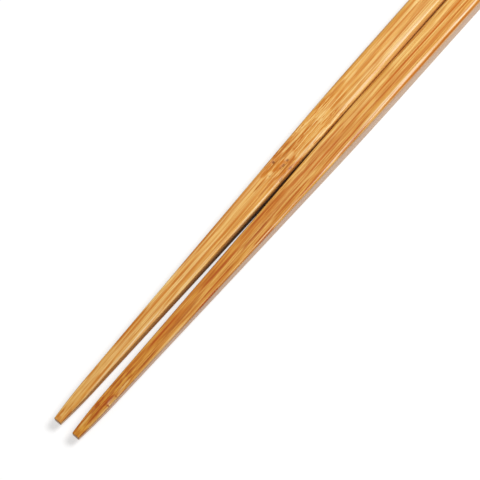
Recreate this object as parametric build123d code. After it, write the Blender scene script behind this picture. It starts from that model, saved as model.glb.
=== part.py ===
# A pair of bamboo chopsticks lying side by side on a table, tips towards -X.
# Each stick is one piece of bamboo: a square handle, a long taper and a finer curved tip.
# Lengths are in millimetres and angles in degrees. +Z is up and the table is at Z = 0.
import os

from build123d import *

# One stick, from the tip to the head
length = 240.0
tip_width = 2.2
tip_length = 12.5
neck_width = 3.5
ease_length = 31.0
handle_length = 105.0
handle_width = 7.5

# Rounding of the stick's four long edges and of its two ends
tip_corner_radius = 0.3
taper_corner_radius = 0.6
handle_corner_radius = 1.3
tip_edge_radius = 0.2
head_edge_radius = 0.6

# How the two sticks lie: their tips lean towards each other from where the inner sides almost touch
toe_in_angle = 0.68
side_clearance = 0.1

# Places along the stick, measured from the tip
handle_start = length - handle_length
ease_start = handle_start - ease_length
taper_slope = (handle_width - neck_width) / (handle_start - ease_length / 2 - tip_length)
tip_bend = (neck_width - taper_slope * tip_length - tip_width) / tip_length**2

# Shares of a stretch's length at which its sections are drawn
straight_shares = (0, 1)
curve_shares = (0, 0.25, 0.5, 0.75, 1)


def width_at(distance):
    # Side of the square section: straight handle, eased shoulder, straight taper, curved tip.
    if distance >= handle_start:
        return handle_width
    if distance >= ease_start:
        return handle_width - taper_slope * (handle_start - distance) ** 2 / (2 * ease_length)
    taper_width = neck_width + taper_slope * (distance - tip_length)
    if distance >= tip_length:
        return taper_width
    return taper_width - tip_bend * (tip_length - distance) ** 2


def corner_radius_at(distance):
    # The corners soften slowly along the taper, then quickly along the shoulder.
    if distance <= ease_start:
        return tip_corner_radius + (taper_corner_radius - tip_corner_radius) * distance / ease_start
    share = min((distance - ease_start) / ease_length, 1)
    return taper_corner_radius + (handle_corner_radius - taper_corner_radius) * share


def section_at(distance):
    # Rounded square across the stick, centred on its middle line.
    place = Plane(origin=(distance, 0, 0), x_dir=(0, 1, 0), z_dir=(1, 0, 0))
    width = width_at(distance)
    return place * RectangleRounded(width, width, corner_radius_at(distance))


def stretch(start, end, shares):
    # One stretch of the stick, drawn through its sections.
    return loft([section_at(start + share * (end - start)) for share in shares])


def make_stick():
    # Built along +X with the tip's end at the origin.
    tip = stretch(0, tip_length, curve_shares)
    taper = stretch(tip_length, ease_start, straight_shares)
    ease = stretch(ease_start, handle_start, curve_shares)
    handle = extrude(section_at(handle_start), handle_length)
    stick = tip + taper + ease + handle
    head_end = stick.faces().sort_by(Axis.X)[-1]
    stick = fillet(head_end.edges(), head_edge_radius)
    tip_end = stick.faces().sort_by(Axis.X)[0]
    return fillet(tip_end.edges(), tip_edge_radius)


def lay_left(stick):
    # Turned by half the toe-in, then moved so that its inner side stands half the clearance off the middle.
    turned = Rot(0, 0, toe_in_angle / 2) * Pos(-length / 2, 0, 0) * stick
    inner_side = turned.bounding_box().min.Y
    return Pos(0, side_clearance / 2 - inner_side, handle_width / 2) * turned


left_chopstick = lay_left(make_stick())
right_chopstick = mirror(left_chopstick, Plane.XZ)

os.makedirs("parts", exist_ok=True)
export_step(left_chopstick, "parts/left_chopstick.step")
export_step(right_chopstick, "parts/right_chopstick.step")
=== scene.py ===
import math

import bmesh
import bpy
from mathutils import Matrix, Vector


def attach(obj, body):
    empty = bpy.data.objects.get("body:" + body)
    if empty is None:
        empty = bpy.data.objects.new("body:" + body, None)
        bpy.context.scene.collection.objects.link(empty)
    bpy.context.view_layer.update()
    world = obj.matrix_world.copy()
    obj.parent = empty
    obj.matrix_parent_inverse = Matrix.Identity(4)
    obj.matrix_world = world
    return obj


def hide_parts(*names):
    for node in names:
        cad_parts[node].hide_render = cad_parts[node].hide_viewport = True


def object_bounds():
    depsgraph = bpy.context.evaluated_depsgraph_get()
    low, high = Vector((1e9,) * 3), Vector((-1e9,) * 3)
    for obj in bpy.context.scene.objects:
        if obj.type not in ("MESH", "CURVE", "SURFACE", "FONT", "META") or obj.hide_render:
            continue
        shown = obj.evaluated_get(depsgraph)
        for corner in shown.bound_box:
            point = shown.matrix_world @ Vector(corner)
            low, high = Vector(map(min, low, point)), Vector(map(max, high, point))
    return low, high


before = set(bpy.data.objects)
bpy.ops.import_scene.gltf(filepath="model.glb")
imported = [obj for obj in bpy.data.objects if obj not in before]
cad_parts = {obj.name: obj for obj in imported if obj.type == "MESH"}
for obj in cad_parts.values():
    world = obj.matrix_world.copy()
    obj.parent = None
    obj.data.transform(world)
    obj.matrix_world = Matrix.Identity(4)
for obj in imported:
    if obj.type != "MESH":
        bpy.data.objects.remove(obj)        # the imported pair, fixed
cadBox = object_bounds()
mm = 0.001
nearEnough = 0.001        # millimetres
print("frame:", sorted(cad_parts))

# stick, in millimetres from its tip
stickShape = {
    "length": 240.0,
    "tipWidth": 2.2,
    "tipLength": 12.5,        # curved end of the taper
    "neckWidth": 3.5,
    "easeLength": 31.0,       # curve into the handle
    "handleLength": 105.0,
    "handleWidth": 7.5,
    "tipCorner": 0.3,
    "taperCorner": 0.6,
    "handleCorner": 1.3,
    "tipRounding": 0.2,
    "headRounding": 0.6,
    "halfToe": math.radians(0.34),
    "cornerCuts": 7,
    "flatCuts": 25,
    "endCuts": 4,
    "curveRings": 17,
    "ringGap": 0.6,           # between rings, up to the handle
    "handleGap": 2.0,
    "smoothAngle": math.radians(40),
}


def widthAt(x):
    s = stickShape
    handleStart = s["length"] - s["handleLength"]
    slope = (s["handleWidth"] - s["neckWidth"]) / (handleStart - s["easeLength"] / 2 - s["tipLength"])
    if x >= handleStart:
        return s["handleWidth"]
    if x >= handleStart - s["easeLength"]:
        return s["handleWidth"] - slope * (handleStart - x) ** 2 / (2 * s["easeLength"])
    taper = s["neckWidth"] + slope * (x - s["tipLength"])
    if x >= s["tipLength"]:
        return taper
    bend = (s["neckWidth"] - slope * s["tipLength"] - s["tipWidth"]) / s["tipLength"] ** 2
    return taper - bend * (s["tipLength"] - x) ** 2


def cornerAt(x):
    s = stickShape
    easeStart = s["length"] - s["handleLength"] - s["easeLength"]
    if x <= easeStart:
        return s["tipCorner"] + (s["taperCorner"] - s["tipCorner"]) * x / easeStart
    share = min((x - easeStart) / s["easeLength"], 1.0)
    return s["taperCorner"] + (s["handleCorner"] - s["taperCorner"]) * share


def stations():        # places of the drawn rings
    s = stickShape
    handleStart = s["length"] - s["handleLength"]
    steps = [n / (s["curveRings"] - 1) for n in range(s["curveRings"])]
    tip = [s["tipLength"] * n for n in steps]
    ease = [handleStart - s["easeLength"] * (1 - n) for n in steps]
    return tip + ease + [s["length"]]


def tipPlace(side):        # where the middle of the tip's end lies, in metres
    s = stickShape
    half = s["length"] / 2
    lean = math.sin(s["halfToe"])
    reach = math.cos(s["halfToe"])
    outerSide = cadBox[1].y / mm
    middle = outerSide - (half - s["headRounding"]) * lean - s["handleWidth"] / 2 * reach
    return Vector((-half * reach, side * (middle - half * lean), s["handleWidth"] / 2)) * mm


def pickEdges(piece, test):        # selects the edges that pass the test, in edit mode
    bpy.ops.mesh.select_mode(type="EDGE")
    bpy.ops.mesh.select_all(action="DESELECT")
    shape = bmesh.from_edit_mesh(piece.data)
    for edge in shape.edges:
        if test(edge):
            edge.select_set(True)
    bmesh.update_edit_mesh(piece.data)


def onRing(*places):        # test for edges that lie on the rings at these places, in millimetres
    def test(edge):
        return any(all(abs(v.co.x / mm - x) < nearEnough for v in edge.verts) for x in places)
    return test


def addRing(piece, x):        # rounded square across the stick, its flats cut up
    width = widthAt(x) * mm
    corner = cornerAt(x) * mm
    bpy.ops.mesh.select_all(action="DESELECT")
    bpy.ops.mesh.primitive_plane_add(size=width, location=(x * mm, 0, 0), rotation=(0, math.pi / 2, 0))
    bpy.ops.mesh.bevel(affect="VERTICES", offset=corner, segments=stickShape["cornerCuts"], profile=0.5)
    bpy.ops.mesh.delete(type="ONLY_FACE")
    ring = onRing(x)
    flat = (width - 2 * corner) * 0.9        # only the flats are longer than this
    pickEdges(piece, lambda edge: ring(edge) and edge.calc_length() > flat)
    bpy.ops.mesh.subdivide(number_cuts=stickShape["flatCuts"])


def roundEnd(piece, x, rounding):
    pickEdges(piece, onRing(x))
    bpy.ops.mesh.edge_face_add()
    pickEdges(piece, onRing(x))
    bpy.ops.mesh.bevel(affect="EDGES", offset=rounding * mm, segments=stickShape["endCuts"], profile=0.5)


# unevenness left by the plane and by the fibres, cut into the surface, in millimetres
relief = {
    "planing": {"along": 38.0, "across": 2.6, "depth": 0.07},
    "fibres": {"along": 55.0, "across": 0.55, "depth": 0.014},
}


def carve(piece, name, along, across, depth, shift):
    texture = bpy.data.textures.new(name, "CLOUDS")
    texture.noise_scale = 1.0
    texture.noise_depth = 1
    bpy.ops.object.empty_add(location=(shift * along * mm, shift * across * mm, 0))
    stretch = bpy.context.object
    stretch.scale = (along * mm, across * mm, across * mm)
    bpy.context.view_layer.update()
    cut = piece.modifiers.new(name, "DISPLACE")
    cut.texture = texture
    cut.texture_coords = "OBJECT"
    cut.texture_coords_object = stretch
    cut.mid_level = 1.0        # only ever cuts inwards
    cut.strength = depth * mm
    bpy.context.view_layer.objects.active = piece
    bpy.ops.object.modifier_apply(modifier=name)
    bpy.data.objects.remove(stretch)


# each stick's own surface: where it reads the relief, in lengths of its waves, and the dents in its top
# dents: place along, place across, half length, half width, depth, in millimetres
leftSurface = {
    "reliefShift": 3.3,
    "dents": [
        (89.0, 1.85, 0.9, 0.6, 0.06), (89.9, -0.75, 1.0, 0.55, 0.06), (91.7, -0.6, 0.8, 0.5, 0.05),
        (86.4, -2.9, 2.6, 0.8, 0.07), (90.6, -2.9, 2.0, 0.7, 0.07), (85.4, 0.2, 1.4, 0.6, 0.04),
    ],
}
rightSurface = {
    "reliefShift": 8.7,
    "dents": [
        (12.75, -1.3, 1.9, 0.8, 0.1), (16.3, -1.3, 1.4, 0.4, 0.05), (8.4, 0.55, 1.2, 0.4, 0.04),
    ],
}


def dent(piece, dents):
    deepest = max(values[-1] for values in dents)
    group = piece.vertex_groups.new(name="dents")
    for vertex in piece.data.vertices:
        x, y, z = vertex.co / mm
        depth = 0.0
        for alongAt, acrossAt, halfLength, halfWidth, deep in dents:
            far = ((x - alongAt) / halfLength) ** 2 + ((y - acrossAt) / halfWidth) ** 2
            if z > 0 and far < 1:
                depth += deep * (1 - far**2) ** 2
        if depth > 0:
            group.add([vertex.index], min(depth / deepest, 1.0), "REPLACE")
    press = piece.modifiers.new("dents", "DISPLACE")
    press.vertex_group = group.name
    press.mid_level = 0.0
    press.strength = -deepest * mm
    bpy.context.view_layer.objects.active = piece
    bpy.ops.object.modifier_apply(modifier="dents")
    piece.vertex_groups.clear()


def modelStick(name, side, surface):        # along +X from its tip, then laid in its place
    s = stickShape
    bpy.ops.object.select_all(action="DESELECT")
    bpy.ops.mesh.primitive_plane_add(size=mm)
    piece = bpy.context.object
    piece.name = name
    piece.data.name = name
    bpy.ops.object.mode_set(mode="EDIT")
    bpy.ops.mesh.select_all(action="SELECT")
    bpy.ops.mesh.delete(type="VERT")
    places = stations()
    for x in places:
        addRing(piece, x)
    for near, far in zip(places, places[1:]):
        pickEdges(piece, onRing(near, far))
        gap = s["handleGap"] if far == s["length"] else s["ringGap"]
        bpy.ops.mesh.bridge_edge_loops(number_cuts=int((far - near) / gap), interpolation="LINEAR")
    roundEnd(piece, 0.0, s["tipRounding"])
    roundEnd(piece, s["length"], s["headRounding"])
    bpy.ops.mesh.select_all(action="SELECT")
    bpy.ops.mesh.normals_make_consistent(inside=False)
    bpy.ops.object.mode_set(mode="OBJECT")
    for cut, values in relief.items():
        carve(piece, cut, shift=surface["reliefShift"], **values)
    dent(piece, surface["dents"])
    bpy.ops.object.select_all(action="DESELECT")
    piece.select_set(True)
    bpy.context.view_layer.objects.active = piece
    piece.location = tipPlace(side)
    piece.rotation_euler = (0, 0, side * s["halfToe"])
    bpy.ops.object.transform_apply(location=True, rotation=True, scale=True)
    bpy.ops.object.shade_smooth_by_angle(angle=s["smoothAngle"])
    print(name, "faces:", len(piece.data.polygons))
    return piece


leftStick = modelStick("leftStick", 1, leftSurface)
rightStick = modelStick("rightStick", -1, rightSurface)


def fill(tree, socket, value):        # links the socket or sets it
    if isinstance(value, bpy.types.NodeSocket):
        tree.links.new(value, socket)
    else:
        socket.default_value = value


def put(tree, kind, values=None, **options):        # new node, its sockets filled
    node = tree.nodes.new("ShaderNode" + kind)
    for option, value in options.items():
        setattr(node, option, value)
    for socket, value in (values or {}).items():
        fill(tree, node.inputs[socket], value)
    return node


def calc(tree, operation, first, second=0.0, clamp=False):
    return put(tree, "Math", {0: first, 1: second}, operation=operation, use_clamp=clamp).outputs[0]


def multiply(tree, first, *others):
    for other in others:
        first = calc(tree, "MULTIPLY", first, other)
    return first


def vectorCalc(tree, operation, first, second):
    return put(tree, "VectorMath", {0: first, 1: second}, operation=operation).outputs[0]


def vectorScale(tree, vector, amount):
    return put(tree, "VectorMath", {0: vector, "Scale": amount}, operation="SCALE").outputs[0]


def split(tree, vector):
    return list(put(tree, "SeparateXYZ", {0: vector}).outputs)


def ramp(tree, value, low, high, outLow=0.0, outHigh=1.0, kind="SMOOTHSTEP"):        # step of a value
    values = {"Value": value, "From Min": low, "From Max": high, "To Min": outLow, "To Max": outHigh}
    return put(tree, "MapRange", values, interpolation_type=kind).outputs[0]


def blend(tree, share, first, second, mode="MIX"):
    node = put(tree, "Mix", data_type="RGBA", blend_type=mode)
    sockets = {socket.identifier: socket for socket in [*node.inputs, *node.outputs]}
    for name, value in (("Factor_Float", share), ("A_Color", first), ("B_Color", second)):
        fill(tree, sockets[name], value)
    return sockets["Result_Color"]


def layer(tree, share, strength, colour, tint):        # lays a tint over a colour, by a mask
    return blend(tree, calc(tree, "MULTIPLY", share, strength), colour, tint)


def newGroup(name, inputs, outputs):
    tree = bpy.data.node_groups.new(name, "ShaderNodeTree")
    for socket, kind in inputs.items():
        tree.interface.new_socket(socket, in_out="INPUT", socket_type="NodeSocket" + kind)
    for socket, kind in outputs.items():
        tree.interface.new_socket(socket, in_out="OUTPUT", socket_type="NodeSocket" + kind)
    return tree, tree.nodes.new("NodeGroupInput").outputs, tree.nodes.new("NodeGroupOutput").inputs


def use(tree, group, values):        # places a group
    return put(tree, "Group", values, node_tree=group).outputs


def rgb(red, green, blue):        # screen colour to linear
    def linear(value):
        value /= 255
        return value / 12.92 if value <= 0.04045 else ((value + 0.055) / 1.055) ** 2.4
    return (linear(red), linear(green), linear(blue), 1.0)


# noise that bends the grain and bands its tone
grainNoise = {
    "wander": {"length": 46.0, "width": 6.0, "detail": 1.0},        # millimetres
    "swirl": {"length": 11.0, "width": 2.0, "detail": 2.0},
    "jointFade": (1.0, 0.6),        # in shares of the reach before or after the joint
    "coreFade": (1.0, 0.3),         # in shares of the reach before it
    "bandDetail": 2.0,
    "bandRoughness": 0.55,
}


def bentGrainGroup():        # fibres wander a little, and swirl at the stem's joint and after it
    tree, given, result = newGroup(
        "bentGrain",
        {"Place": "Vector", "Wander": "Float", "Joint": "Float", "Before": "Float", "After": "Float",
         "Swirl": "Float"},
        {"Grain": "Vector", "Joint": "Float", "Core": "Float"},
    )

    def sway(amount, length, width, detail):
        place = vectorCalc(tree, "DIVIDE", given["Place"], (length, width, width))
        noise = put(tree, "TexNoise", {"Vector": place, "Scale": 1.0, "Detail": detail}).outputs["Color"]
        return vectorScale(tree, vectorCalc(tree, "SUBTRACT", noise, (0.5, 0.5, 0.5)), amount)

    past = calc(tree, "SUBTRACT", split(tree, given["Place"])[0], given["Joint"])
    ahead = calc(tree, "DIVIDE", calc(tree, "MULTIPLY", past, -1.0), given["Before"])
    share = calc(tree, "MAXIMUM", ahead, calc(tree, "DIVIDE", past, given["After"]))
    band = ramp(tree, share, *grainNoise["jointFade"])
    wander = sway(given["Wander"], **grainNoise["wander"])
    swirl = sway(calc(tree, "MULTIPLY", band, given["Swirl"]), **grainNoise["swirl"])
    sideways = vectorCalc(tree, "MULTIPLY", vectorCalc(tree, "ADD", wander, swirl), (0.0, 1.0, 1.0))
    tree.links.new(vectorCalc(tree, "ADD", given["Place"], sideways), result["Grain"])
    tree.links.new(band, result["Joint"])
    near = calc(tree, "DIVIDE", calc(tree, "ABSOLUTE", past), given["Before"])
    tree.links.new(ramp(tree, near, *grainNoise["coreFade"]), result["Core"])
    return tree


def fibreGroup():        # bundles of fibre: lines along the stick, dots on its ends
    tree, given, result = newGroup(
        "fibreBundles",
        {"Grain": "Vector", "Spacing": "Float", "Stretch": "Float", "Core": "Float", "Rim": "Float",
         "Rarity": "Float"},
        {"Line": "Float"},
    )
    along, across, up = split(tree, given["Grain"])
    along = calc(tree, "DIVIDE", along, given["Stretch"])
    cell = put(tree, "CombineXYZ", {0: along, 1: across, 2: up}).outputs[0]
    scale = calc(tree, "DIVIDE", 1.0, given["Spacing"])
    cells = put(tree, "TexVoronoi", {"Vector": cell, "Scale": scale}).outputs
    core = ramp(tree, cells["Distance"], given["Rim"], given["Core"])
    chance = put(tree, "SeparateColor", {0: cells["Color"]}).outputs[0]
    kept = ramp(tree, chance, given["Rarity"], 1.0, kind="LINEAR")
    tree.links.new(calc(tree, "MULTIPLY", core, kept), result["Line"])
    return tree


def bandGroup():        # soft bands of tone along the grain
    tree, given, result = newGroup(
        "toneBands",
        {"Grain": "Vector", "Length": "Float", "Width": "Float", "Low": "Float", "High": "Float"},
        {"Tone": "Float"},
    )
    size = put(tree, "CombineXYZ", {0: given["Length"], 1: given["Width"], 2: given["Width"]}).outputs[0]
    noise = put(tree, "TexNoise", {
        "Vector": vectorCalc(tree, "DIVIDE", given["Grain"], size),
        "Scale": 1.0,
        "Detail": grainNoise["bandDetail"],
        "Roughness": grainNoise["bandRoughness"],
    }).outputs[0]
    tree.links.new(ramp(tree, noise, given["Low"], given["High"]), result["Tone"])
    return tree


def markGroup():        # one speck, streak or patch, of even width until near its ends
    tree, given, result = newGroup(
        "grainMark",
        {"Along": "Float", "Across": "Float", "Up": "Float", "Along At": "Float", "Across At": "Float",
         "Up At": "Float", "Half Length": "Float", "Half Width": "Float", "Half Height": "Float",
         "Softness": "Float"},
        {"Mask": "Float"},
    )

    def squared(value):
        return calc(tree, "MULTIPLY", value, value)

    def offset(axis, size):        # squared distance from the middle of the mark, in half sizes
        apart = calc(tree, "SUBTRACT", given[axis], given[axis + " At"])
        return squared(calc(tree, "DIVIDE", apart, given[size]))

    along = squared(offset("Along", "Half Length"))
    around = calc(tree, "ADD", offset("Across", "Half Width"), offset("Up", "Half Height"))
    distance = calc(tree, "SQRT", calc(tree, "ADD", along, around))
    inner = calc(tree, "SUBTRACT", 1.0, given["Softness"])
    tree.links.new(ramp(tree, distance, 1.0, inner), result["Mask"])
    return tree


bentGrain = bentGrainGroup()
fibreBundles = fibreGroup()
toneBands = bandGroup()
grainMark = markGroup()
print("grain groups made")

# finishes: screen colours, and places in millimetres from the tip and across from the middle line
# marks: place along, place across, half length, half width, strength
leftFinish = {
    "pale": rgb(242, 199, 123),
    "golden": rgb(231, 171, 83),
    "amber": rgb(202, 115, 12),
    "brown": rgb(132, 64, 14),
    # colour of the painted edge highlights
    "cream": rgb(250, 224, 176),
    "fleckShare": (0.25, 0.95),       # along the stick and at the joint
    "fineDepth": 1.0,                 # how strongly the fine lines shade
    "sideRoughness": 0.9,             # of the side towards -Y
    "upperRoughness": 0.9,            # near the top of that side
    # painted light on the side towards -Y
    "paintedSideLight": rgb(226, 154, 76),
    "sideShade": 0.9,                 # painted shade, low on the side that faces the other stick
    "tipTint": (0.90, 0.84, 0.74, 1.0),
    "tipReach": (0.0, 85.0),          # where that tint is full and where it is gone
    "joint": 90.0,
    "jointReach": (8.0, 30.0),        # before it and after it
    "jointTint": 0.9,                 # share of the amber clouds there
    "swirl": 0.9,                     # how far the grain bends there
    "shift": (0.0, 0.0, 0.0),         # where the stick reads the grain
    # painted highlights along the right-hand top edge
    "edgeWearAndHighlights": [
        (26.0, -1.45, 17.0, 0.34, 0.8), (52.0, -1.9, 18.0, 0.32, 0.45), (76.0, -2.62, 14.0, 0.28, 0.6),
        (98.0, -2.6, 8.0, 0.34, 0.55), (118.0, -2.65, 10.0, 0.45, 0.45), (140.0, -2.45, 14.0, 0.65, 0.5),
        (180.0, -2.75, 24.0, 0.4, 0.4),
    ],
    "paleMarks": [
        (93.0, -0.17, 2.4, 0.87, 0.6), (85.6, 0.23, 1.6, 0.87, 0.5), (95.2, 1.63, 2.0, 0.58, 0.5),
        (121.0, 1.53, 3.0, 0.87, 0.5), (68.0, 0.35, 20.0, 1.6, 0.4),
    ],
    "amberMarks": [
        (58.0, -0.62, 28.0, 0.43, 0.7), (42.0, 0.75, 19.0, 0.43, 0.7), (31.0, 1.63, 8.0, 0.38, 0.85),
        (72.0, 2.28, 27.0, 0.52, 0.6), (63.0, 1.48, 9.0, 0.35, 0.5), (16.0, -0.87, 6.0, 0.35, 0.6),
        (15.5, 1.28, 3.0, 0.29, 0.6), (82.0, 0.63, 3.0, 0.35, 0.8), (82.5, -1.27, 4.0, 0.29, 0.6),
        (87.3, 1.3, 4.2, 0.42, 0.8), (88.2, 0.2, 1.7, 0.6, 0.75), (93.0, 2.33, 4.0, 0.43, 0.8),
        (90.5, -1.72, 4.0, 0.35, 0.7), (88.5, -2.12, 3.0, 0.29, 0.6), (92.6, -1.32, 1.8, 0.29, 0.8),
        (95.0, 0.88, 2.4, 0.35, 0.8), (2.0, 0.55, 1.7, 0.34, 0.8), (2.6, -1.2, 2.2, 0.3, 0.7),
        (0.4, 0.1, 1.4, 0.9, 0.4), (84.8, 1.65, 1.8, 0.4, 0.7), (88.8, -0.45, 1.6, 0.42, 0.75),
        (132.0, 0.9, 22.0, 0.6, 0.4), (136.0, -0.9, 24.0, 0.6, 0.4), (148.0, 2.2, 24.0, 0.5, 0.4),
        (88.0, -1.5, 7.0, 0.26, 0.7), (84.5, -2.0, 4.0, 0.26, 0.6), (140.0, 0.95, 12.0, 0.32, 0.7),
        (124.0, 0.35, 8.0, 0.4, 0.5), (138.0, -0.9, 16.0, 0.34, 0.6), (113.5, -0.45, 4.0, 0.34, 0.7),
        (116.0, 2.2, 4.0, 0.34, 0.7), (113.0, 0.6, 5.0, 0.4, 0.6), (125.0, -1.75, 7.0, 0.34, 0.5),
    ],
    # the two at the right edge by the joint, at 86.4 and 90.5, are painted shade in the dents there
    "brownMarks": [
        (88.9, 1.85, 0.5, 0.65, 0.85), (89.9, -0.75, 0.75, 0.5, 0.75), (91.7, -0.6, 0.55, 0.42, 0.75),
        (88.8, -0.65, 0.5, 0.4, 0.5), (85.2, 0.2, 0.4, 0.35, 0.35), (86.4, -2.75, 0.9, 0.4, 0.45),
        (90.5, -2.6, 0.6, 0.5, 0.55), (93.0, 2.4, 4.0, 0.22, 0.45), (87.5, 1.45, 3.2, 0.2, 0.45),
        (92.5, 0.85, 3.0, 0.2, 0.4), (90.0, -1.6, 4.5, 0.18, 0.45), (95.5, 1.25, 2.5, 0.18, 0.4),
        (81.0, -1.2, 2.6, 0.18, 0.35), (81.0, 0.62, 2.6, 0.18, 0.35),
    ],
}
rightFinish = {
    "pale": rgb(240, 196, 116),
    "golden": rgb(226, 165, 74),
    "amber": rgb(198, 106, 4),
    "brown": rgb(180, 92, 8),
    # colour of the chip and of the painted edge highlights
    "cream": rgb(255, 240, 220),
    "fleckShare": (0.35, 0.8),
    "fineDepth": 1.4,
    "sideRoughness": 0.36,
    "upperRoughness": 0.75,
    # painted reflection on the side towards -Y: pale, like the white table it faces
    "paintedSideLight": rgb(232, 197, 172),
    "sideShade": 0.0,
    "tipTint": (0.78, 0.57, 0.22, 1.0),
    "tipReach": (8.0, 150.0),
    "joint": 10.0,
    "jointReach": (10.0, 16.0),
    "jointTint": 0.4,
    "swirl": 1.8,
    "shift": (400.0, 13.0, 7.0),
    "paleMarks": [
        (7.0, -1.2, 4.0, 0.5, 0.7), (3.5, 0.2, 3.0, 0.55, 0.45), (13.0, 0.5, 2.5, 0.45, 0.5),
        (18.5, -1.0, 2.5, 0.5, 0.45), (27.0, -1.75, 7.0, 0.3, 0.5), (64.0, -2.3, 9.0, 0.35, 0.6),
        (71.0, 0.3, 7.0, 0.3, 0.5), (69.0, -1.6, 8.0, 0.35, 0.5), (88.0, -0.65, 8.0, 0.3, 0.5),
        (94.0, 0.5, 8.0, 0.26, 0.5), (104.0, 2.65, 16.0, 0.4, 0.6), (114.0, 1.5, 14.0, 0.5, 0.5),
        (114.0, -0.4, 12.0, 0.35, 0.55), (116.0, -2.3, 13.0, 0.4, 0.6), (134.0, 2.4, 16.0, 0.5, 0.5),
        (140.0, -0.25, 16.0, 0.45, 0.5), (44.0, -1.75, 11.0, 0.5, 0.8), (57.0, -2.15, 7.0, 0.4, 0.6),
        (124.0, -2.1, 18.0, 0.5, 0.7), (120.0, 2.5, 22.0, 0.8, 0.45),
    ],
    # the pale chip near the tip, and painted highlights along the right-hand top edge
    "edgeWearAndHighlights": [
        (12.75, -1.25, 2.0, 0.7, 0.65), (7.0, -1.2, 4.2, 0.42, 0.6), (17.5, -1.05, 3.0, 0.5, 0.5),
        (4.5, 0.55, 3.0, 0.5, 0.35), (9.0, -1.6, 9.0, 0.4, 0.6), (30.0, -2.0, 13.0, 0.4, 0.6),
        (76.0, -2.45, 12.0, 0.25, 0.35), (104.0, -2.75, 14.0, 0.3, 0.35), (126.0, -2.6, 20.0, 0.6, 0.36),
        (165.0, -2.65, 24.0, 0.5, 0.35),
    ],
    "amberMarks": [
        (92.0, 0.5, 24.0, 1.8, 0.3), (86.0, 1.55, 7.0, 0.3, 0.7), (106.0, -3.1, 7.0, 0.3, 0.8),
        (78.0, 1.9, 9.0, 0.3, 0.7), (24.0, 1.3, 6.0, 0.3, 0.6), (35.5, 0.83, 7.5, 0.35, 1.0),
        (57.0, 0.63, 10.0, 0.43, 0.91), (54.0, -1.22, 8.0, 0.35, 0.91), (49.0, -2.25, 5.0, 0.29, 1.0),
        (71.5, -2.05, 4.5, 0.25, 1.0), (72.0, -2.7, 4.0, 0.26, 1.0), (84.0, -1.17, 9.0, 0.35, 0.91),
        (92.0, 1.03, 7.0, 0.34, 0.78), (99.0, -0.07, 8.0, 0.34, 0.91), (93.0, -2.52, 9.0, 0.29, 0.91),
        (104.0, -1.82, 11.0, 0.34, 0.85), (104.5, 1.98, 6.0, 0.29, 0.78), (72.0, 1.85, 6.0, 0.35, 0.75),
        (150.0, 0.5, 42.0, 0.4, 1.0), (150.0, -1.0, 40.0, 0.26, 0.75), (140.0, -3.27, 26.0, 0.35, 0.78),
        (70.0, 1.1, 6.0, 0.22, 0.6), (79.5, 1.33, 4.0, 0.24, 0.7), (102.0, 2.03, 9.0, 0.24, 0.6),
        (101.0, -0.04, 4.0, 0.24, 0.5), (113.0, 0.58, 7.0, 0.26, 0.8), (112.5, -1.75, 4.5, 0.24, 0.7),
        (101.0, -2.43, 3.5, 0.2, 0.5), (110.0, -0.85, 6.0, 0.2, 0.5),
    ],
    "brownMarks": [
        (8.0, -0.5, 6.0, 0.36, 0.85), (12.6, -0.62, 2.4, 0.28, 0.8), (8.6, 0.6, 2.2, 0.4, 0.6),
        (17.6, 1.35, 3.4, 0.34, 0.85), (18.5, 0.32, 6.5, 0.38, 0.7), (26.5, -1.1, 4.5, 0.32, 0.75),
        (41.0, -0.42, 8.0, 0.36, 0.7), (70.5, -0.38, 6.5, 0.36, 0.85), (1.5, -1.15, 1.8, 0.36, 0.7),
        (11.15, -1.25, 0.32, 0.62, 0.85), (14.3, -1.25, 0.28, 0.6, 0.6),
    ],
}

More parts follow.
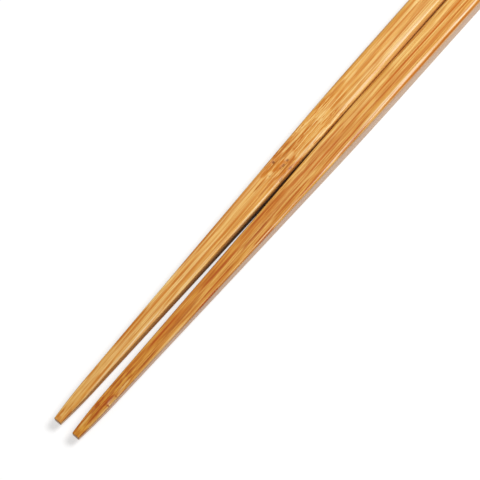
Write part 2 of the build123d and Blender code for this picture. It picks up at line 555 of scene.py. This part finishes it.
# what both sticks share, in millimetres; a step has its start and end, then levels other than 0 and 1
bamboo = {
    "tones": {        # size, and the noise at which a tone starts and is full
        "broad": {"Length": 80.0, "Width": 1.9, "Low": 0.4, "High": 0.6},
        "streaks": {"Length": 36.0, "Width": 0.6, "Low": 0.53, "High": 0.58},
        "gleams": {"Length": 34.0, "Width": 0.65, "Low": 0.52, "High": 0.6},
        "clouds": {"Length": 4.0, "Width": 0.7, "Low": 0.47, "High": 0.57},
        "flecks": {"Length": 9.0, "Width": 0.36, "Low": 0.52, "High": 0.55},
        "flames": {"Length": 8.0, "Width": 0.38, "Low": 0.52, "High": 0.56},
        "fine": {"Length": 18.0, "Width": 0.36, "Low": 0.42, "High": 0.58},
    },
    "fibres": {       # stretch is how many times longer than wide they are
        "thick": {"Spacing": 1.3, "Stretch": 140.0, "Core": 0.08, "Rim": 0.24, "Rarity": 0.15},
        "middle": {"Spacing": 0.8, "Stretch": 120.0, "Core": 0.08, "Rim": 0.27, "Rarity": 0.2},
        "thin": {"Spacing": 0.5, "Stretch": 110.0, "Core": 0.08, "Rim": 0.3, "Rarity": 0.1},
    },
    "shiftedMasks": ("gleams", "clouds", "flecks", "middle"),        # so that they don't follow the others
    "maskShift": (90.0, 31.0, 17.0),
    "wander": 0.35,
    # mask, share and colour, in the order they are laid
    "tints": (("gleams", 0.7, "pale"), ("streaks", 0.45, "amber"), ("thin", 0.8, "amber"),
              ("middle", 0.9, "amber"), ("thick", 0.8, "amber")),
    "flameShare": 0.8,
    "coreHold": 0.55,                 # keeps flames out of the joint's middle
    # colour and softness of the marks, in the order they are laid
    "marks": (("paleMarks", "pale", 0.9), ("amberMarks", "amber", 0.65), ("edgeWearAndHighlights", "cream", 0.9),
              ("brownMarks", "brown", 0.8)),
    "markBend": 0.4,                  # share of the grain's bend
    "markHeight": 1.4,                # reach down the sides
    "fineShades": ((0.08, 0.05), (0.17, 0.09), (0.32, 0.18)),        # darker and lighter: red, green, blue
    "tipEnd": (0.28, 0.05),           # back from the end
    "headEnd": (0.3, 0.05),
    "endGrain": rgb(150, 98, 52),
    "endShare": 0.55,
    "endDots": rgb(84, 44, 16),
    "dotShare": 0.8,
    "sideEdge": (0.1, 1.0),           # of the side towards -Y
    "sideNear": (1.0, 18.0, 0.2, 0.75),
    "sideFar": (40.0, 95.0, 0.0, 0.25),
    "paintedSideLightShare": 0.6,                 # share of the painted light on that side
    "upperLift": (0.1, 0.8),          # in half widths above the middle
    "upperEdge": (0.0, 0.15),
    "upperReach": (35.0, 60.0, 1.0, 0.5),
    "gapDepth": (0.9, 3.2),           # where the painted gap shade starts and is full, below the upper edge
    "gapEdge": (0.0, 0.3),
    "gapNear": (15.0, 80.0),
    "gapFar": (130.0, 110.0, 0.3, 1.0),
    "gapShade": rgb(34, 20, 12),
    "topRoughness": (0.32, 0.38),     # between the fibre lines and on them
    "fineHeight": 0.4,
    "lineDepth": 0.6,
    "bumpStrength": 0.12,
    "bumpDistance": 0.03,
    "ior": 1.5,
    "specular": 0.3,
}


def stickPlace(tree, side):        # millimetres from the tip, across and up from the middle line
    return put(tree, "Mapping", {
        "Vector": put(tree, "TexCoord").outputs["Object"],
        "Location": tipPlace(side),
        "Rotation": (0, 0, side * stickShape["halfToe"]),
        "Scale": (mm, mm, mm),
    }, vector_type="TEXTURE").outputs[0]


def grainMasks(tree, grain):
    shifted = vectorCalc(tree, "ADD", grain, bamboo["maskShift"])
    masks = {}
    for kind, group, output in (("tones", toneBands, "Tone"), ("fibres", fibreBundles, "Line")):
        for name, values in bamboo[kind].items():
            place = shifted if name in bamboo["shiftedMasks"] else grain
            masks[name] = use(tree, group, {"Grain": place, **values})[output]
    return masks


def grainColour(tree, finish, masks, joint, core):
    colour = blend(tree, masks["broad"], finish["golden"], finish["pale"])
    for name, share, tone in bamboo["tints"]:
        colour = layer(tree, masks[name], share, colour, finish[tone])
    fleckShare = ramp(tree, joint, 0.0, 1.0, *finish["fleckShare"])
    colour = layer(tree, masks["flecks"], fleckShare, colour, finish["amber"])
    clouds = calc(tree, "MULTIPLY", masks["clouds"], core)
    colour = layer(tree, clouds, finish["jointTint"], colour, finish["amber"])
    held = calc(tree, "MULTIPLY", core, bamboo["coreHold"])
    pastCore = calc(tree, "SUBTRACT", joint, held, clamp=True)
    flames = calc(tree, "MULTIPLY", masks["flames"], pastCore)
    return layer(tree, flames, bamboo["flameShare"], colour, finish["pale"])


def markColour(tree, finish, place, grain, colour):        # the marks that are listed one by one
    bend = vectorScale(tree, vectorCalc(tree, "SUBTRACT", grain, place), bamboo["markBend"])
    along, across, up = split(tree, vectorCalc(tree, "ADD", place, bend))
    for marks, tone, softness in bamboo["marks"]:
        for x, y, halfLength, halfWidth, strength in finish[marks]:
            mask = use(tree, grainMark, {
                "Along": along, "Across": across, "Up": up,
                "Along At": x, "Across At": y, "Up At": widthAt(x) / 2,
                "Half Length": halfLength, "Half Width": halfWidth, "Half Height": bamboo["markHeight"],
                "Softness": softness,
            })["Mask"]
            colour = layer(tree, mask, strength, colour, finish[tone])
    return colour


def shadedColour(tree, finish, along, fine, colour):        # darker towards the tip, and line by line
    fullAt, goneAt = finish["tipReach"]
    tipShare = ramp(tree, along, goneAt, fullAt, kind="LINEAR")
    colour = blend(tree, tipShare, colour, finish["tipTint"], "MULTIPLY")
    shades = {}
    for channel, (darker, lighter) in enumerate(bamboo["fineShades"]):
        low = 1 - darker * finish["fineDepth"]
        high = 1 + lighter * finish["fineDepth"]
        shades[channel] = ramp(tree, fine, 0.0, 1.0, low, high)
    shade = put(tree, "CombineColor", shades).outputs[0]
    return blend(tree, 1.0, colour, shade, "MULTIPLY")


def endMask(tree, along):
    fromHead = [stickShape["length"] - distance for distance in bamboo["headEnd"]]
    return calc(tree, "MAXIMUM", ramp(tree, along, *bamboo["tipEnd"]), ramp(tree, along, *fromHead))


def sideMasks(tree, along, across, up, ends):        # the side towards -Y, its upper part, and the depth that the painted gap shade follows
    def step(value, name):
        return ramp(tree, value, *bamboo[name])

    rightwards = calc(tree, "MULTIPLY", calc(tree, "ADD", across, calc(tree, "ABSOLUTE", up)), -1.0)
    share = calc(tree, "ADD", step(along, "sideNear"), step(along, "sideFar"))
    side = multiply(tree, step(rightwards, "sideEdge"), calc(tree, "SUBTRACT", 1.0, ends), share)
    lift = calc(tree, "DIVIDE", up, calc(tree, "ABSOLUTE", across))
    upper = multiply(tree, step(lift, "upperLift"), step(rightwards, "upperEdge"),
                     step(along, "upperReach"))
    depth = calc(tree, "MULTIPLY", calc(tree, "ADD", across, up), -1.0)
    gap = multiply(tree, step(depth, "gapDepth"), step(rightwards, "gapEdge"), step(along, "gapNear"),
                   step(along, "gapFar"))
    return side, upper, gap


def bambooMaterial(name, side, finish):
    material = bpy.data.materials.new(name)
    material.use_nodes = True
    tree = material.node_tree
    shader = tree.nodes["Principled BSDF"]
    place = stickPlace(tree, side)
    along, across, up = split(tree, place)
    before, after = finish["jointReach"]
    bent = use(tree, bentGrain, {
        "Place": place, "Wander": bamboo["wander"], "Swirl": finish["swirl"],
        "Joint": finish["joint"], "Before": before, "After": after,
    })
    masks = grainMasks(tree, vectorCalc(tree, "ADD", bent["Grain"], finish["shift"]))
    lines = calc(tree, "MAXIMUM", masks["thick"], masks["middle"])
    ends = endMask(tree, along)
    rightSide, upperSide, gapShadeMask = sideMasks(tree, along, across, up, ends)

    colour = grainColour(tree, finish, masks, bent["Joint"], bent["Core"])
    colour = markColour(tree, finish, place, bent["Grain"], colour)
    colour = shadedColour(tree, finish, along, masks["fine"], colour)
    # painted light on the side towards -Y: shade on the left stick, reflection on the right
    colour = layer(tree, rightSide, bamboo["paintedSideLightShare"], colour, finish["paintedSideLight"])
    # painted shade low in the gap between the sticks
    colour = layer(tree, gapShadeMask, finish["sideShade"], colour, bamboo["gapShade"])
    colour = layer(tree, ends, bamboo["endShare"], colour, bamboo["endGrain"])
    dots = calc(tree, "MULTIPLY", ends, lines)
    colour = layer(tree, dots, bamboo["dotShare"], colour, bamboo["endDots"])
    tree.links.new(colour, shader.inputs["Base Color"])

    gloss = ramp(tree, lines, 0.0, 1.0, *bamboo["topRoughness"])
    gloss = ramp(tree, rightSide, 0.0, 1.0, gloss, finish["sideRoughness"])
    gloss = ramp(tree, upperSide, 0.0, 1.0, gloss, finish["upperRoughness"])
    tree.links.new(gloss, shader.inputs["Roughness"])
    raised = calc(tree, "MULTIPLY", masks["fine"], bamboo["fineHeight"])
    height = calc(tree, "SUBTRACT", raised, calc(tree, "MULTIPLY", lines, bamboo["lineDepth"]))
    bump = put(tree, "Bump", {
        "Height": height, "Strength": bamboo["bumpStrength"], "Distance": bamboo["bumpDistance"] * mm,
    })
    tree.links.new(bump.outputs[0], shader.inputs["Normal"])
    shader.inputs["IOR"].default_value = bamboo["ior"]
    shader.inputs["Specular IOR Level"].default_value = bamboo["specular"]
    return material


for piece, node, side, slot, finish in (
    (leftStick, "left_chopstick", 1, "left_bamboo", leftFinish),
    (rightStick, "right_chopstick", -1, "right_bamboo", rightFinish),
):
    piece.data.materials.clear()
    piece.data.materials.append(bambooMaterial(slot, side, finish))
    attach(piece, "root")
    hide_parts(node)
print("bamboo finished")

# table, light and camera, in metres and degrees
studio = {
    "tableSize": 6.0,
    "tableColour": (0.5, 0.5, 0.5, 1.0),
    "tableRoughness": 0.9,
    "tableLift": 0.58,         # makes the lit table white to the camera
    "white": (1.0, 1.0, 1.0, 1.0),
    "skyLevel": 0.3,
    "lampPower": 4.45,
    "lampSize": 0.28,
    "lampDistance": 0.75,
    "lampTilt": 26.0,          # from straight above
    "lampTurn": 18.0,          # from the right of the picture, towards its top
    "azimuth": -50.12,
    "elevation": 70.0,
    "distance": 0.6,
    "lens": 171.07,            # millimetres, as the sensor is
    "sensorWidth": 36.0,
    "aim": (-0.0515, -0.00018, 0.0),
}


def layTable():
    bpy.ops.object.select_all(action="DESELECT")
    bpy.ops.mesh.primitive_plane_add(size=studio["tableSize"])
    table = bpy.context.object
    table.name = "table"
    paint = bpy.data.materials.new("tablePaint")
    paint.use_nodes = True
    tree = paint.node_tree
    shader = tree.nodes["Principled BSDF"]
    shader.inputs["Base Color"].default_value = studio["tableColour"]
    shader.inputs["Roughness"].default_value = studio["tableRoughness"]
    shader.inputs["Specular IOR Level"].default_value = 0.0
    shader.inputs["Emission Color"].default_value = studio["white"]
    rays = put(tree, "LightPath").outputs
    seen = calc(tree, "ADD", rays["Is Camera Ray"], rays["Is Glossy Ray"])
    seen = calc(tree, "ADD", seen, rays["Is Transmission Ray"], clamp=True)
    tree.links.new(calc(tree, "MULTIPLY", seen, studio["tableLift"]), shader.inputs["Emission Strength"])
    table.data.materials.append(paint)


def lightStudio():
    world = bpy.data.worlds.new("studio")
    world.use_nodes = True
    bpy.context.scene.world = world
    sky = world.node_tree.nodes["Background"]
    sky.inputs["Color"].default_value = studio["white"]
    sky.inputs["Strength"].default_value = studio["skyLevel"]

    lampSide = math.radians(studio["azimuth"] + studio["lampTurn"])
    tilt = math.radians(studio["lampTilt"])
    flat = Vector((math.cos(lampSide), math.sin(lampSide), 0))
    towards = flat * math.sin(tilt) + Vector((0, 0, math.cos(tilt)))
    place = Vector(studio["aim"]) + towards * studio["lampDistance"]
    bpy.ops.object.light_add(type="AREA", location=place)
    lamp = bpy.context.object
    lamp.rotation_euler = (-towards).to_track_quat("-Z", "Y").to_euler()
    lamp.data.size = studio["lampSize"]
    lamp.data.energy = studio["lampPower"]


def aimCamera():
    azimuth = math.radians(studio["azimuth"])
    elevation = math.radians(studio["elevation"])
    flat = Vector((math.sin(azimuth), -math.cos(azimuth), 0))
    back = flat * math.cos(elevation) + Vector((0, 0, math.sin(elevation)))
    bpy.ops.object.camera_add(location=Vector(studio["aim"]) + back * studio["distance"])
    camera = bpy.context.object
    camera.rotation_euler = (-back).to_track_quat("-Z", "Y").to_euler()
    camera.data.lens = studio["lens"]
    camera.data.sensor_width = studio["sensorWidth"]
    bpy.context.scene.camera = camera
    bpy.context.scene.view_settings.view_transform = "Standard"


layTable()
lightStudio()
aimCamera()
print("studio set")
